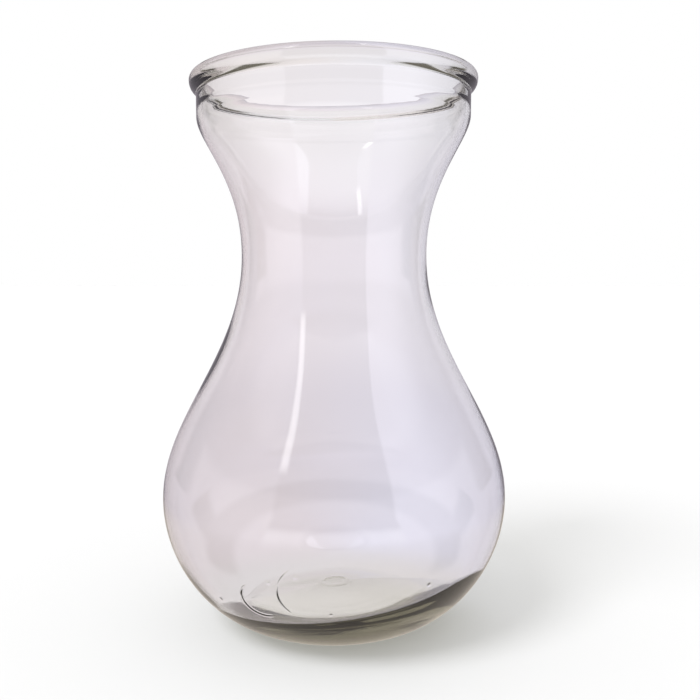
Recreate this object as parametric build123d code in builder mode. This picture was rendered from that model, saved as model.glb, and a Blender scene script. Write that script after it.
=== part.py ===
# Clear glass vase for forcing one hyacinth bulb over water.
# The bulb sits in the cup with its base at the waist, and its roots grow down into the water in the belly.
# The vase is one piece of blown glass: a rolled bead, a collar, the cup, the waist, the belly and a thick floor.
# Millimetres, +Z up, with the origin on the table at the middle of the foot.

from build123d import *
import os

# Foot: a flat ring that the vase stands on, round a shallow push-up
foot_radius = 20.0
push_up_radius = 13.5
push_up_rise = 1.8
push_up_edge_fillet = 0.8

# Outside of the wall: radii at the belly, the waist and the collar, and the climb from each to the next
belly_radius = 47.9
belly_height = 34.8
waist_radius = 25.5
shoulder_rise = 67.3
collar_radius = 37.1
cup_rise = 36.4

# Rim: an upright collar, up to the middle of a rolled bead that stands out past it and curls back onto it
collar_height = 9.6
bead_overhang = 1.8
bead_underside_drop = 3.6

# Thickness of the glass, from the rim down, and the drop of the soft ledge inside the collar
collar_wall = 2.0
ledge_drop = 5.0
cup_wall = 1.35
belly_wall = 1.0
heel_wall = 1.1
floor_thickness = 6.0

# Fullness of each curve: how far its handles reach, as shares of the climb or of the width it crosses
cup_top_share = 0.165
cup_waist_share = 0.55
shoulder_waist_share = 0.415
shoulder_belly_share = 0.34
heel_side_share = 0.525
heel_foot_share = 0.485
heel_inside_side_share = 0.36
heel_inside_edge_share = 0.33
floor_share = 0.5
ledge_share = 0.5
roll_share = 0.55
underside_bead_share = 0.7
underside_collar_share = 0.22

# How far along the heel, from the foot, the floor ends inside, and how much of the collar is thick above the ledge
floor_edge_share = 0.46
collar_inside_share = 0.35

# Heights and inside radii that follow from the sizes above
waist_height = belly_height + shoulder_rise
collar_base_height = waist_height + cup_rise
bead_middle_height = collar_base_height + collar_height
floor_height = push_up_rise + floor_thickness
collar_inside_radius = collar_radius - collar_wall
bead_outer_radius = collar_radius + bead_overhang
bead_roll_radius = (bead_outer_radius - collar_inside_radius) / 2
bead_middle_radius = bead_outer_radius - bead_roll_radius
rim_height = bead_middle_height + bead_roll_radius
ledge_height = bead_middle_height - collar_height * collar_inside_share


def upright_curve(low, high, low_share, high_share):
    """The four Bezier points of a stretch of wall that leaves both of its ends upright."""
    climb = high[1] - low[1]
    low_handle = (low[0], low[1] + climb * low_share)
    high_handle = (high[0], high[1] - climb * high_share)
    return low, low_handle, high_handle, high


def bowl_curve(middle, side, middle_share, side_share):
    """The four Bezier points of a bowl, or of a crown, that is level in its middle and upright at its side."""
    width = side[0] - middle[0]
    climb = side[1] - middle[1]
    middle_handle = (middle[0] + width * middle_share, middle[1])
    side_handle = (side[0], side[1] - climb * side_share)
    return middle, middle_handle, side_handle, side


# The whole vase, turned from one section of its wall
with BuildPart() as glass_vase:
    with BuildSketch(Plane.XZ) as section:
        with BuildLine() as outline:
            # Underside: the push-up, then the flat ring
            TangentArc((0, push_up_rise), (push_up_radius, 0), tangent=(1, 0))
            Line((push_up_radius, 0), (foot_radius, 0))

            # Outside, from the foot up: heel, shoulder, cup, collar and the underside of the bead
            belly = (belly_radius, belly_height)
            waist = (waist_radius, waist_height)
            collar_base = (collar_radius, collar_base_height)
            collar_top = (collar_radius, bead_middle_height - bead_underside_drop)
            bead_outside = (bead_outer_radius, bead_middle_height)
            heel = Bezier(*bowl_curve((foot_radius, 0), belly, heel_foot_share, heel_side_share))
            Bezier(*upright_curve(belly, waist, shoulder_belly_share, shoulder_waist_share))
            Bezier(*upright_curve(waist, collar_base, cup_waist_share, cup_top_share))
            Line(collar_base, collar_top)
            Bezier(*upright_curve(collar_top, bead_outside, underside_collar_share, underside_bead_share))

            # Over the rolled bead, as wide as the collar and its overhang together, and down to the ledge
            rim_top = (bead_middle_radius, rim_height)
            bead_inside = (collar_inside_radius, bead_middle_height)
            ledge_top = (collar_inside_radius, ledge_height)
            ledge_foot = (collar_radius - cup_wall, ledge_height - ledge_drop)
            Bezier(*bowl_curve(rim_top, bead_outside, roll_share, roll_share))
            Bezier(*bowl_curve(rim_top, bead_inside, roll_share, roll_share))
            Line(bead_inside, ledge_top)
            Bezier(*upright_curve(ledge_foot, ledge_top, ledge_share, ledge_share))

            # Inside, from the cup down to the middle of the floor
            cup_inside = (collar_radius - cup_wall, collar_base_height)
            waist_inside = (waist_radius - cup_wall, waist_height)
            belly_inside = (belly_radius - belly_wall, belly_height)
            Line(ledge_foot, cup_inside)
            Bezier(*upright_curve(waist_inside, cup_inside, cup_waist_share, cup_top_share))
            Bezier(*upright_curve(belly_inside, waist_inside, shoulder_belly_share, shoulder_waist_share))

            # The wall follows the heel down to the floor's edge, and the floor runs on from there, level to the middle
            slope = heel % floor_edge_share
            floor_edge = heel @ floor_edge_share + Vector(-slope.Y, slope.X) * heel_wall
            heel_climb = belly_height - floor_edge.Y
            edge_handle = floor_edge + slope * heel_climb * heel_inside_edge_share
            side_handle = (belly_radius - belly_wall, belly_height - heel_climb * heel_inside_side_share)
            level_point = floor_edge - slope * ((floor_edge.Y - floor_height) / slope.Y)
            floor_middle = (0, floor_height)
            Bezier(belly_inside, side_handle, edge_handle, floor_edge)
            Bezier(floor_edge, level_point, (level_point.X * floor_share, floor_height), floor_middle)
            Line(floor_middle, (0, push_up_rise))
        make_face()
        fillet(section.vertices().sort_by_distance((push_up_radius, 0))[0], push_up_edge_fillet)
    revolve(axis=Axis.Z)

glass_vase.part.label = "glass_vase"
os.makedirs("parts", exist_ok=True)
export_step(glass_vase.part, "parts/glass_vase.step")
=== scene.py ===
import math

import bpy
import numpy as np
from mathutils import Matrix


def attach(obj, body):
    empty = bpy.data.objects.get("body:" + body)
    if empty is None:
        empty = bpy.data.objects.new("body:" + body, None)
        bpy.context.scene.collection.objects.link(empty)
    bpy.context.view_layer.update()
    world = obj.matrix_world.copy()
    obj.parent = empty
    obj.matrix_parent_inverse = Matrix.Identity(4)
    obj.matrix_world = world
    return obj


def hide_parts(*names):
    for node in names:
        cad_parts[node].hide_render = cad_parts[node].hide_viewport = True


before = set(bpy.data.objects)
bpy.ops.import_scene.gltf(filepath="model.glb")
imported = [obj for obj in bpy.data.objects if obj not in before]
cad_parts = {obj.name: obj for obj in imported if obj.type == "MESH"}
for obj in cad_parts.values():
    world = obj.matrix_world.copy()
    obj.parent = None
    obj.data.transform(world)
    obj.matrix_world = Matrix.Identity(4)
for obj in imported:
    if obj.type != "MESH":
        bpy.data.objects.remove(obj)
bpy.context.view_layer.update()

# Blown glass
# The whole vase: one skin of clear soda-lime glass, blown into a mould and fire-polished at the rim.
# The outside follows the mould and the inside follows the gather, so the wall swells at the bead and in the
# floor, and the floor has settled towards the front right.

# The vase's section in millimetres, each point a radius and a height
push_up_rise = 0.6
standing_radius = 14.1
foot = (20.0, 0.0)
belly = (47.9, 34.8)
waist = (25.5, 102.1)
cup_top = (37.1, 138.5)
collar_top = (37.1, 144.5)
bead_side = (38.9, 148.1)
rim_top = (37.0, 150.0)
bead_lip = (35.1, 148.1)
ledge_start = (35.55, 144.6)
ledge_top = (35.55, 142.6)
ledge_foot = (35.75, 140.4)
cup_top_inside = (35.75, 138.5)
waist_inside = (24.15, 102.1)
belly_inside = (46.9, 34.8)
floor_height = 7.8
heel_wall = 1.1

# How far the curves' handles reach, as shares of the climb or of the width, at the lower and the upper end
cup_shares = (0.55, 0.165)
shoulder_shares = (0.34, 0.415)
heel_shares = (0.485, 0.525)
roll_shares = (0.55, 0.55)
ledge_shares = (0.45, 0.45)


def bezier(start, start_handle, end_handle, end, t):
    """The point at t on a cubic Bezier curve: (1-t)^3 A + 3t(1-t)^2 B + 3t^2(1-t) C + t^3 D."""
    start_part = (1 - t) ** 3 * start + 3 * t * (1 - t) ** 2 * start_handle
    end_part = 3 * t**2 * (1 - t) * end_handle + t**3 * end
    return start_part + end_part


def curve(start, start_handle, end_handle, end, count):
    """Points of the section along one Bezier curve, at even steps of t from 0 to 1."""
    t = np.linspace(0.0, 1.0, count)[:, None]
    return bezier(*np.array([start, start_handle, end_handle, end], float), t)


def upright(low, high, shares, count):
    """A stretch of wall, upright at both ends: one handle is straight over the low end and one straight under
    the high end, each by its share of the climb."""
    climb = high[1] - low[1]
    low_handle = (low[0], low[1] + climb * shares[0])
    high_handle = (high[0], high[1] - climb * shares[1])
    return curve(low, low_handle, high_handle, high, count)


def bowl(middle, side, shares, count):
    """A bowl, or a crown, level in its middle and upright at its side: one handle is level with the middle,
    by its share of the width, and one straight under or over the side, by its share of the climb."""
    middle_handle = (middle[0] + (side[0] - middle[0]) * shares[0], middle[1])
    side_handle = (side[0], side[1] - (side[1] - middle[1]) * shares[1])
    return curve(middle, middle_handle, side_handle, side, count)


def step(low, high, value):
    """A smooth step from 0 to 1: 3t^2 - 2t^3, where t is the value's place between low and high."""
    t = np.clip((value - low) / (high - low), 0.0, 1.0)
    return t * t * (3 - 2 * t)


# Outside: the shallow push-up, the ring that the vase stands on, heel, shoulder, cup, collar and rolled bead
underside = curve((0.0, push_up_rise), (6.0, push_up_rise), (9.0, 0.05), (13.0, 0.02), 20)
ring = curve((13.0, 0.02), (13.5, 0.01), (13.8, 0.0), (standing_radius, 0.0), 6)
heel = bowl(foot, belly, heel_shares, 62)
shoulder = upright(belly, waist, shoulder_shares, 58)
cup = upright(waist, cup_top, cup_shares, 38)
collar = curve(cup_top, (37.1, 140.5), (37.1, 142.7), collar_top, 7)
flare = curve(collar_top, (37.1, 145.3), (38.9, 145.6), bead_side, 14)
bead_outside = bowl(rim_top, bead_side, roll_shares, 13)[::-1]
low_outside = np.vstack([underside, ring[1:], heel, shoulder[1:], cup[1:]])
outside = np.vstack([low_outside, collar[1:], flare[1:], bead_outside[1:]])

# Inside, from the bead down to the belly: the soft ledge under the bead, the cup and the shoulder
bead_inside = bowl(rim_top, bead_lip, roll_shares, 13)
collar_inside = curve(bead_lip, (35.1, 146.9), (35.55, 146.3), ledge_start, 8)
ledge = upright(ledge_foot, ledge_top, ledge_shares, 9)[::-1]
cup_inside = upright(waist_inside, cup_top_inside, cup_shares, 38)[::-1]
shoulder_inside = upright(belly_inside, waist_inside, shoulder_shares, 58)[::-1]
inside = np.vstack([bead_inside[1:], collar_inside[1:], ledge[1:], cup_inside, shoulder_inside[1:]])

# Round the axis: every point of the section but the one on the axis is turned in even steps
turns = 224
angle = np.linspace(0.0, 2 * math.pi, turns, endpoint=False)
section = np.vstack([outside, inside])[1:]
wall_radius = np.repeat(section[:, :1], turns, axis=1)
wall_height = np.repeat(section[:, 1:], turns, axis=1)

# The settled floor. The thin wall follows the heel down to the floor's edge, at a share of the heel that is
# 0 at the foot and 1 at the belly. With a for the angle from the front in degrees, to the right, it is
# 0.583 + 0.0028 a + 0.000015 a^2, held at 0.735 at most. Smooth steps bring it down to 0.15 round the back
low_share, high_share = 0.15, 0.735
from_front = np.degrees(np.mod(angle + 1.5 * math.pi, 2 * math.pi) - math.pi)
share = np.clip(0.583 + 0.0028 * from_front + 0.000015 * from_front**2, low_share, high_share)
settled = step(-104.0, -46.0, from_front) * (1 - step(50.0, 125.0, from_front))
share = low_share + (share - low_share) * settled

# Where the edge lies: the heel's curve at that share s, and one wall's thickness in from it along the normal.
# The heel's slope there is 3 times (1-s)^2 A + 2s(1-s) B + s^2 C, with A, B and C the legs from each of its
# four points to the next
heel_points = np.array([foot, (33.53, 0.0), (47.9, 16.53), belly])[:, :, None]
legs = np.diff(heel_points, axis=0)
slope = (1 - share) ** 2 * legs[0] + 2 * share * (1 - share) * legs[1] + share**2 * legs[2]
slope = 3 * slope
speed = np.hypot(slope[0], slope[1])
slope = slope / speed
edge = bezier(*heel_points, share) + heel_wall * np.stack([-slope[1], slope[0]])

# Inside the heel: upright at the belly and along the heel at the edge. The handles are those of the heel's
# own curve above the edge, a little shortened
side_reach, edge_reach = 0.95, 0.97
side = np.array(belly_inside)[:, None]
side_handle = np.stack([np.full(turns, side[0, 0]), side[1, 0] - (1 - share) * legs[2, 1] * side_reach])
edge_handle = edge + slope * speed * (1 - share) / 3 * edge_reach

# The floor: from its edge it makes for a level, 4.6 mm and 0.28 of the edge's height, but at most 0.9 of that
# height. From there it bends over and runs flat to the middle, with a slight tilt
flat_share, tilt = 0.5, 0.04
level = np.minimum(0.9 * edge[1], 4.6 + 0.28 * edge[1])
level_point = np.stack([edge[0] - slope[0] * (edge[1] - level) / slope[1], level])
tilted = tilt * edge[0] * np.cos(angle + math.radians(45))
middle_handle = np.stack([level_point[0] * flat_share, floor_height + tilted])
middle = np.array([0.0, floor_height])[:, None]

# Both as grids of radius and height: one row for each step down the curve and one column for each turn
down = np.linspace(0.0, 1.0, 44)[1:, None, None]
in_heel = bezier(side, side_handle, edge_handle, edge, down)
down = np.linspace(0.0, 1.0, 60)[1:-1, None, None]
on_floor = bezier(edge, level_point, middle_handle, middle, down)
radius = np.vstack([wall_radius, in_heel[:, 0], on_floor[:, 0]])
height = np.vstack([wall_height, in_heel[:, 1], on_floor[:, 1]])
rows = len(radius)
is_inside = (np.arange(1, rows + 1) >= len(outside))[:, None]

# Slow waves of the gather: three sines of the angle and the height, up to 0.03 mm each on the wall and up to
# 0.09 mm each in the floor
wall_wave, more_in_floor = 0.03, 0.06
waves = np.sin(3 * angle + height / 9.0)
waves = waves + 0.7 * np.sin(5 * angle - height / 6.0 + 1.3)
waves = waves + 0.5 * np.sin(2 * angle + height / 23.0 + 2.1)
waves = waves * is_inside * (wall_wave + more_in_floor * (1 - step(8.0, 16.0, height)))
radius = radius + waves * step(2.0, 12.0, radius)
height = height + waves * (1 - step(8.0, 14.0, height)) * step(3.0, 14.0, radius)

# Tighter ripples where the floor climbs to its edge: 0.035 mm high and 4 mm apart, bent by sines of the angle
ripple_rise = 0.035
ripples = np.sin(1.5 * radius + 2.2 * np.sin(2 * angle + 0.6) + 0.9 * np.sin(5 * angle))
climbing = step(16.0, 24.0, radius) * (1 - step(32.0, 37.0, radius)) * (height < 13.0)
height = height + ripple_rise * ripples * is_inside * climbing

# The floor's mark, where the gather closed: a low ring round a dimple. With r for the radius, the ring rises
# by 0.26 mm times exp(-((r - 3.9) / 0.6)^2), and the dimple sinks by 0.08 mm times exp(-(r / 1.9)^2)
ring_rise, dimple = 0.26, 0.08
mark = ring_rise * np.exp(-(((radius - 3.9) / 0.6) ** 2)) - dimple * np.exp(-((radius / 1.9) ** 2))
height = height + mark * is_inside * (height < 12.0)

# The rim leans: above the waist it rises by 0.012 mm for each mm towards +X
lean = 0.012
height = height + lean * radius * np.cos(angle) * step(104.0, 146.0, height)

# The points, ring by ring, and then the two on the axis: the top of the push-up and the middle of the floor
x, y = radius * np.cos(angle), radius * np.sin(angle)
poles = np.array([[0.0, 0.0, push_up_rise], [0.0, 0.0, floor_height - dimple]])
points = np.vstack([np.stack([x, y, height], axis=-1).reshape(-1, 3), poles]) / 1000.0

# Faces: four-sided between rings, and a fan at each pole, wound so that they look out of the glass
row, at = np.meshgrid(np.arange(rows - 1), np.arange(turns), indexing="ij")
here, beyond = row * turns + at, row * turns + (at + 1) % turns
quads = np.stack([here, beyond, beyond + turns, here + turns], axis=-1).reshape(-1, 4)
at = np.arange(turns)
beyond = (at + 1) % turns
last_ring = (rows - 1) * turns
low_fan = np.stack([np.full(turns, rows * turns), beyond, at], axis=-1)
high_fan = np.stack([np.full(turns, rows * turns + 1), last_ring + at, last_ring + beyond], axis=-1)
mesh = bpy.data.meshes.new("blown_glass")
mesh.from_pydata(points.tolist(), [], quads.tolist() + low_fan.tolist() + high_fan.tolist())
mesh.polygons.foreach_set("use_smooth", np.ones(len(mesh.polygons), bool))
mesh.update()
blown_glass = bpy.data.objects.new("blown_glass", mesh)
bpy.context.scene.collection.objects.link(blown_glass)


def feed(tree, socket, value):
    """Gives a socket what it needs: a link from another socket, or a plain number, place or colour."""
    if isinstance(value, bpy.types.NodeSocket):
        tree.links.new(value, socket)
    elif isinstance(value, tuple) and len(socket.default_value) == 4:
        socket.default_value = (*value, 1.0)
    else:
        socket.default_value = value


def maths(tree, operation, *values):
    """The result of one Math node: the operation that it is named for, on its inputs in order."""
    node = tree.nodes.new("ShaderNodeMath")
    node.operation = operation
    for socket, value in zip(node.inputs, values):
        feed(tree, socket, value)
    return node.outputs["Value"]


def along(tree, operation, *values):
    """One Vector Math node. It measures for LENGTH, DISTANCE and DOT_PRODUCT, and else gives a vector."""
    node = tree.nodes.new("ShaderNodeVectorMath")
    node.operation = operation
    for socket, value in zip(node.inputs, values):
        feed(tree, socket, value)
    measures = operation in ("LENGTH", "DISTANCE", "DOT_PRODUCT")
    return node.outputs["Value"] if measures else node.outputs["Vector"]


def ease(tree, value, low, high, at_low=0.0, at_high=1.0):
    """Goes smoothly from one number to another, by 3t^2 - 2t^3, as the value goes from low to high."""
    node = tree.nodes.new("ShaderNodeMapRange")
    node.interpolation_type = "SMOOTHSTEP"
    names = ("Value", "From Min", "From Max", "To Min", "To Max")
    for name, setting in zip(names, (value, low, high, at_low, at_high)):
        feed(tree, node.inputs[name], setting)
    return node.outputs["Result"]


def spot(tree, off, width):
    """A soft-edged spot or line: 1 / (1 + (off / width)^4), where off is the distance from its middle."""
    fourth = maths(tree, "POWER", maths(tree, "ABSOLUTE", maths(tree, "DIVIDE", off, width)), 4.0)
    return maths(tree, "DIVIDE", 1.0, maths(tree, "ADD", 1.0, fourth))


def cord(tree, place, middle, radius, width, facing, reach):
    """A hair-thin cord in the glass, in metres: a line where the distance from its middle is its radius.

    The arc stays where the way out from the middle, times facing, is more than reach times the radius."""
    way = along(tree, "SUBTRACT", place, middle)
    line = spot(tree, maths(tree, "SUBTRACT", along(tree, "LENGTH", way), radius), width)
    side_on = along(tree, "DOT_PRODUCT", way, facing)
    arc = ease(tree, side_on, reach * radius, (reach + 0.35) * radius)
    return maths(tree, "MULTIPLY", line, arc)


# The glass: clear, with a surface that sways gently, by 0.15 mm at most, and an olive tint where it is thick
clear_glass = bpy.data.materials.new("clear_glass")
clear_glass.use_nodes = True
tree = clear_glass.node_tree
tree.nodes.clear()
glass = tree.nodes.new("ShaderNodeBsdfPrincipled")
glass.inputs["Base Color"].default_value = (1.0, 1.0, 1.0, 1.0)
glass.inputs["Roughness"].default_value = 0.0
glass.inputs["IOR"].default_value = 1.52
glass.inputs["Transmission Weight"].default_value = 1.0
place = tree.nodes.new("ShaderNodeTexCoord").outputs["Object"]
sway = tree.nodes.new("ShaderNodeTexNoise")
sway.inputs["Scale"].default_value = 38.0
sway.inputs["Detail"].default_value = 1.0
tree.links.new(place, sway.inputs["Vector"])
swaying = tree.nodes.new("ShaderNodeBump")
swaying.inputs["Strength"].default_value = 0.25
swaying.inputs["Distance"].default_value = 0.0006
tree.links.new(sway.outputs["Fac"], swaying.inputs["Height"])

# Two cords near the heel, where the cool end of the gather met the mould, and five seeds, which are pinhead
# bubbles, each with its middle and its size in metres. All of them stand 0.1 mm proud
flaws = cord(tree, place, (-0.0175, -0.0401, 0.0192), 0.0054, 0.00022, (-0.8, 0.0, -0.6), 0.0)
second_cord = cord(tree, place, (-0.0057, -0.0445, 0.0222), 0.0080, 0.00020, (-1.0, 0.0, 0.0), 0.55)
flaws = maths(tree, "ADD", flaws, second_cord)
seeds = [
    ((-0.0157, -0.0437, 0.0246), 0.00035),
    ((-0.0284, -0.0320, 0.0161), 0.00035),
    ((-0.0009, -0.0430, 0.0164), 0.00025),
    ((0.0227, -0.0396, 0.0223), 0.00040),
    ((-0.0092, -0.0461, 0.0268), 0.00040),
]
for seed_middle, size in seeds:
    flaws = maths(tree, "ADD", flaws, spot(tree, along(tree, "DISTANCE", place, seed_middle), size))
proud = tree.nodes.new("ShaderNodeBump")
proud.inputs["Strength"].default_value = 1.0
proud.inputs["Distance"].default_value = 0.0001
tree.links.new(flaws, proud.inputs["Height"])
tree.links.new(swaying.outputs["Normal"], proud.inputs["Normal"])
tree.links.new(proud.outputs["Normal"], glass.inputs["Normal"])

# To lamps and the table the glass lets 84% of the light straight through, so that its shadow is a light one
light_path = tree.nodes.new("ShaderNodeLightPath")
lamp_light = tree.nodes.new("ShaderNodeBsdfTransparent")
lamp_light.inputs["Color"].default_value = (0.84, 0.84, 0.84, 1.0)
seen = glass.outputs["BSDF"]
for ray in ("Is Shadow Ray", "Is Diffuse Ray"):
    choice = tree.nodes.new("ShaderNodeMixShader")
    tree.links.new(light_path.outputs[ray], choice.inputs[0])
    tree.links.new(seen, choice.inputs[1])
    tree.links.new(lamp_light.outputs["BSDF"], choice.inputs[2])
    seen = choice.outputs["Shader"]
tint = tree.nodes.new("ShaderNodeVolumeAbsorption")
tint.inputs["Color"].default_value = (0.61, 0.60, 0.50, 1.0)
tint.inputs["Density"].default_value = 80.0
output = tree.nodes.new("ShaderNodeOutputMaterial")
tree.links.new(seen, output.inputs["Surface"])
tree.links.new(tint.outputs["Volume"], output.inputs["Volume"])
mesh.materials.append(clear_glass)

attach(blown_glass, "root")
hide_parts("glass_vase")

# Room and table
# A white backdrop all round and a white table, both plain to the camera but for the vase's soft shadow. Only
# the glass shows more of the room: pale walls, rosy on the left and cool on the right, with dark sides, and a
# broad soft window behind the camera, which is mirrored in its surface.


def blend_colours(tree, share, first, second):
    """The first colour where the share is 0 and the second where it is 1."""
    node = tree.nodes.new("ShaderNodeMix")
    node.data_type = "RGBA"
    feed(tree, node.inputs["Factor"], share)
    feed(tree, node.inputs[6], first)
    feed(tree, node.inputs[7], second)
    return node.outputs[2]


def product(tree, *values):
    """All the values multiplied together."""
    result = values[0]
    for value in values[1:]:
        result = maths(tree, "MULTIPLY", result, value)
    return result


pale_room = bpy.data.node_groups.new("pale_room", "ShaderNodeTree")
pale_room.interface.new_socket("Direction", in_out="INPUT", socket_type="NodeSocketVector")
pale_room.interface.new_socket("Dark Sides", in_out="INPUT", socket_type="NodeSocketFloat")
pale_room.interface.new_socket("Seen Through", in_out="OUTPUT", socket_type="NodeSocketColor")
pale_room.interface.new_socket("Mirrored", in_out="OUTPUT", socket_type="NodeSocketColor")
tree = pale_room
entering, leaving = tree.nodes.new("NodeGroupInput"), tree.nodes.new("NodeGroupOutput")

# A direction, by how far it points up, and by the cosine and the sine of its bearing from straight ahead, +Y
split = tree.nodes.new("ShaderNodeSeparateXYZ")
tree.links.new(entering.outputs["Direction"], split.inputs["Vector"])
along_x, along_y, up = split.outputs["X"], split.outputs["Y"], split.outputs["Z"]
squares = maths(tree, "ADD", product(tree, along_x, along_x), product(tree, along_y, along_y))
flat_length = maths(tree, "MAXIMUM", maths(tree, "SQRT", squares), 0.0001)
ahead = maths(tree, "DIVIDE", along_y, flat_length)
to_right = maths(tree, "DIVIDE", along_x, flat_length)

# Seen through the glass: walls, rosy on the left and cool on the right, that get paler upwards in two steps
across = ease(tree, to_right, -0.28, 0.28)
low_wall = blend_colours(tree, across, (0.80, 0.725, 0.775), (0.80, 0.78, 0.91))
high_wall = blend_colours(tree, across, (0.94, 0.85, 0.90), (0.91, 0.89, 1.0))
top_wall = blend_colours(tree, across, (0.935, 0.885, 0.905), (0.925, 0.915, 0.985))
wall = blend_colours(tree, ease(tree, up, -0.25, -0.03), low_wall, high_wall)
wall = blend_colours(tree, ease(tree, up, 0.02, 0.16), wall, top_wall)

# The dark sides: an upright strip, 50 to 72 degrees to each side of straight ahead, that starts just below
# the horizon, and from 15 degrees up all that is over 34 degrees off straight ahead. Both end 34 degrees up
strip = product(tree, ease(tree, ahead, 0.24, 0.38), ease(tree, up, -0.17, -0.13))
strip = product(tree, strip, ease(tree, ahead, 0.58, 0.70, 1.0, 0.0))
corner = product(tree, ease(tree, up, 0.20, 0.30), ease(tree, ahead, 0.78, 0.88, 1.0, 0.0))
aside = product(tree, maths(tree, "MAXIMUM", strip, corner), ease(tree, up, 0.50, 0.62, 1.0, 0.0))
aside = product(tree, aside, entering.outputs["Dark Sides"])
seen_through = blend_colours(tree, aside, wall, (0.13, 0.12, 0.09))
tree.links.new(seen_through, leaving.inputs["Seen Through"])

# Mirrored in the glass: the window, 38 degrees to each side of straight behind, is bright at its foot, over
# 18 degrees below the horizon, and almost dark higher up. The bright walls beside it fade towards the sides
# and the front
window = ease(tree, ahead, -0.80, -0.765, 1.0, 0.0)
pane = blend_colours(tree, ease(tree, up, -0.42, -0.20), (2.5, 2.5, 2.6), (0.06, 0.0, 0.02))
left_wall = blend_colours(tree, ease(tree, up, -0.10, 0.40), (1.55, 1.45, 1.50), (0.65, 0.62, 0.75))
beside = blend_colours(tree, ease(tree, along_x, -0.3, 0.3), left_wall, (1.90, 1.85, 2.10))
beside = blend_colours(tree, ease(tree, ahead, -0.55, 0.20), beside, (0.36, 0.33, 0.37))
mirrored_room = blend_colours(tree, window, beside, pane)

# A bright upright slit inside the window's left edge, from 28 to 50 degrees up
slit = product(tree, ease(tree, ahead, -0.84, -0.81), ease(tree, ahead, -0.78, -0.75, 1.0, 0.0))
slit = product(tree, slit, ease(tree, along_x, -0.1, -0.2))
slit_height = product(tree, ease(tree, up, 0.42, 0.52), ease(tree, up, 0.72, 0.80, 1.0, 0.0))
mirrored_room = blend_colours(tree, product(tree, slit, slit_height), mirrored_room, (5.0, 5.0, 5.0))
tree.links.new(mirrored_room, leaving.inputs["Mirrored"])

# The backdrop: white to the camera, the room to rays that the glass bends or mirrors, and an even grey light
# to all other rays
backdrop = bpy.data.worlds.new("backdrop")
bpy.context.scene.world = backdrop
backdrop.use_nodes = True
tree = backdrop.node_tree
tree.nodes.clear()
room = tree.nodes.new("ShaderNodeGroup")
room.node_tree = pale_room
tree.links.new(tree.nodes.new("ShaderNodeTexCoord").outputs["Generated"], room.inputs["Direction"])
room.inputs["Dark Sides"].default_value = 1.0
path = tree.nodes.new("ShaderNodeLightPath").outputs
is_shine = product(tree, path["Is Glossy Ray"], path["Is Reflection Ray"])
colour = blend_colours(tree, path["Is Transmission Ray"], (0.76, 0.76, 0.76), room.outputs["Seen Through"])
colour = blend_colours(tree, is_shine, colour, room.outputs["Mirrored"])
colour = blend_colours(tree, path["Is Camera Ray"], colour, (1.0, 1.0, 1.0))
background = tree.nodes.new("ShaderNodeBackground")
tree.links.new(colour, background.inputs["Color"])
background.inputs["Strength"].default_value = 1.0
world_output = tree.nodes.new("ShaderNodeOutputWorld")
tree.links.new(background.outputs["Background"], world_output.inputs["Surface"])

# The table: a wide square board just under the vase
span, drop = 4.0, -0.0001
corners = [(-span, -span, drop), (span, -span, drop), (span, span, drop), (-span, span, drop)]
floor_mesh = bpy.data.meshes.new("floor")
floor_mesh.from_pydata(corners, [], [(0, 1, 2, 3)])
floor = bpy.data.objects.new("floor", floor_mesh)
bpy.context.scene.collection.objects.link(floor)
white_table = bpy.data.materials.new("white_table")
white_table.use_nodes = True
tree = white_table.node_tree
tree.nodes.clear()
board = tree.nodes.new("ShaderNodeBsdfPrincipled")
board.inputs["Base Color"].default_value = (0.80, 0.80, 0.80, 1.0)
board.inputs["Roughness"].default_value = 0.9
board.inputs["Specular IOR Level"].default_value = 0.1

# To the glass, a place on the table shows the room that lies behind it, as seen from 100 mm over the foot
room_centre = (0.0, 0.0, 0.1)
place = tree.nodes.new("ShaderNodeTexCoord").outputs["Object"]
room = tree.nodes.new("ShaderNodeGroup")
room.node_tree = pale_room
straight = along(tree, "NORMALIZE", along(tree, "SUBTRACT", place, room_centre))
tree.links.new(straight, room.inputs["Direction"])
away = along(tree, "LENGTH", place)
tree.links.new(ease(tree, away, 0.10, 0.30), room.inputs["Dark Sides"])

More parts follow.
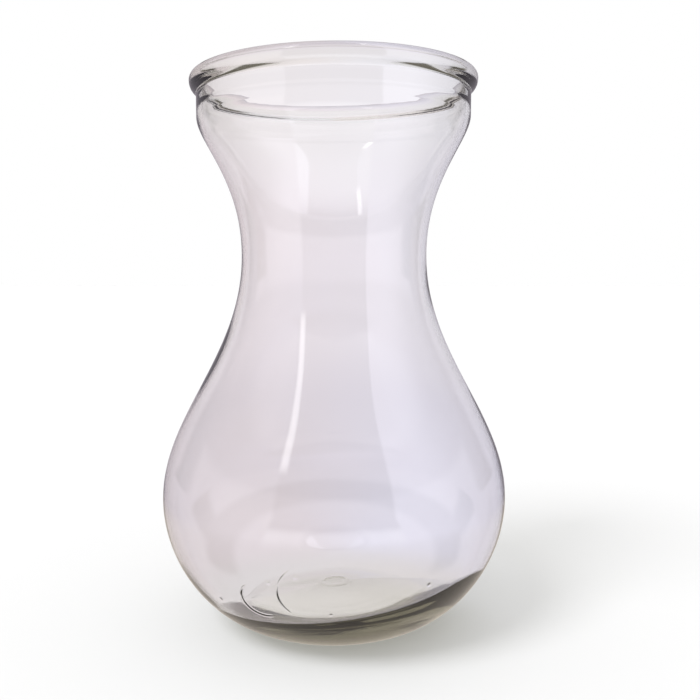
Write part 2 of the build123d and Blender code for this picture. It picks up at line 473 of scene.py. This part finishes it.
# Near the foot it shows painted light and shade instead: a painted pool of light under the front of the vase,
# painted shade under the back, a brown painted shadow just in front of the foot, and brown painted shade all
# round where the outside of the glass mirrors it
split = tree.nodes.new("ShaderNodeSeparateXYZ")
tree.links.new(place, split.inputs["Vector"])
towards_back = split.outputs["Y"]
# Painted light under the front of the vase, painted shade under its back and a brown painted shadow in front
# of the foot
painted_light_front, painted_shade_back = (1.0, 0.97, 1.0), (0.78, 0.745, 0.77)
painted_shadow_brown, mirrored_painted_shade = (0.45, 0.41, 0.40), (0.67, 0.60, 0.53)
under = ease(tree, away, 0.03, 0.06, 1.0, 0.0)
painted_light_and_shade_under = blend_colours(tree, ease(tree, towards_back, -0.012, 0.008), painted_light_front, painted_shade_back)
# Where the painted shadow just in front of the foot lies
in_front = ease(tree, towards_back, -0.026, -0.018, 1.0, 0.0)
close_by = product(tree, in_front, ease(tree, away, 0.055, 0.10, 1.0, 0.0))
seen_through = blend_colours(tree, under, room.outputs["Seen Through"], painted_light_and_shade_under)
seen_through = blend_colours(tree, close_by, seen_through, painted_shadow_brown)
# Brown painted shade round the foot, in what the outside of the glass mirrors
round_foot = ease(tree, away, 0.10, 0.18, 1.0, 0.0)
mirrored_table = blend_colours(tree, round_foot, room.outputs["Mirrored"], mirrored_painted_shade)

# The board to all other rays, so that it keeps the vase's shadow
path = tree.nodes.new("ShaderNodeLightPath").outputs
is_shine = product(tree, path["Is Glossy Ray"], path["Is Reflection Ray"])
seen = board.outputs["BSDF"]
for is_ray, colour in ((path["Is Transmission Ray"], seen_through), (is_shine, mirrored_table)):
    glow = tree.nodes.new("ShaderNodeEmission")
    tree.links.new(colour, glow.inputs["Color"])
    choice = tree.nodes.new("ShaderNodeMixShader")
    tree.links.new(is_ray, choice.inputs[0])
    tree.links.new(seen, choice.inputs[1])
    tree.links.new(glow.outputs["Emission"], choice.inputs[2])
    seen = choice.outputs["Shader"]
tree.links.new(seen, tree.nodes.new("ShaderNodeOutputMaterial").inputs["Surface"])
floor_mesh.materials.append(white_table)

# Lamp
# One broad soft lamp, high on the left in front, far enough away to light the table evenly. It gives the
# vase its light shadow, and the glass mirrors the window instead of it.
lamp_data = bpy.data.lights.new("soft_lamp", "SUN")
lamp_data.energy = 2.2
lamp_data.angle = math.radians(24)
lamp = bpy.data.objects.new("soft_lamp", lamp_data)
lamp.rotation_euler = (math.radians(40), 0.0, math.radians(-50))
lamp.visible_glossy = False
lamp.visible_transmission = False
bpy.context.scene.collection.objects.link(lamp)

# Camera
# Where the photograph was taken from, as fitted to the vase's outline: 235 mm in front of the axis and 99 mm
# over the table, looking a little down and to the right.
downwards, rightwards = 5.72, 1.07
camera_data = bpy.data.cameras.new("camera")
camera_data.lens = 43.16
camera_data.sensor_width = 36.0
camera_data.clip_start = 0.01
camera = bpy.data.objects.new("camera", camera_data)
camera.location = (0.0, -0.23485, 0.0988)
camera.rotation_euler = (math.radians(90 - downwards), 0.0, math.radians(-rightwards))
bpy.context.scene.collection.objects.link(camera)
bpy.context.scene.camera = camera
bpy.context.scene.view_settings.view_transform = "Standard"
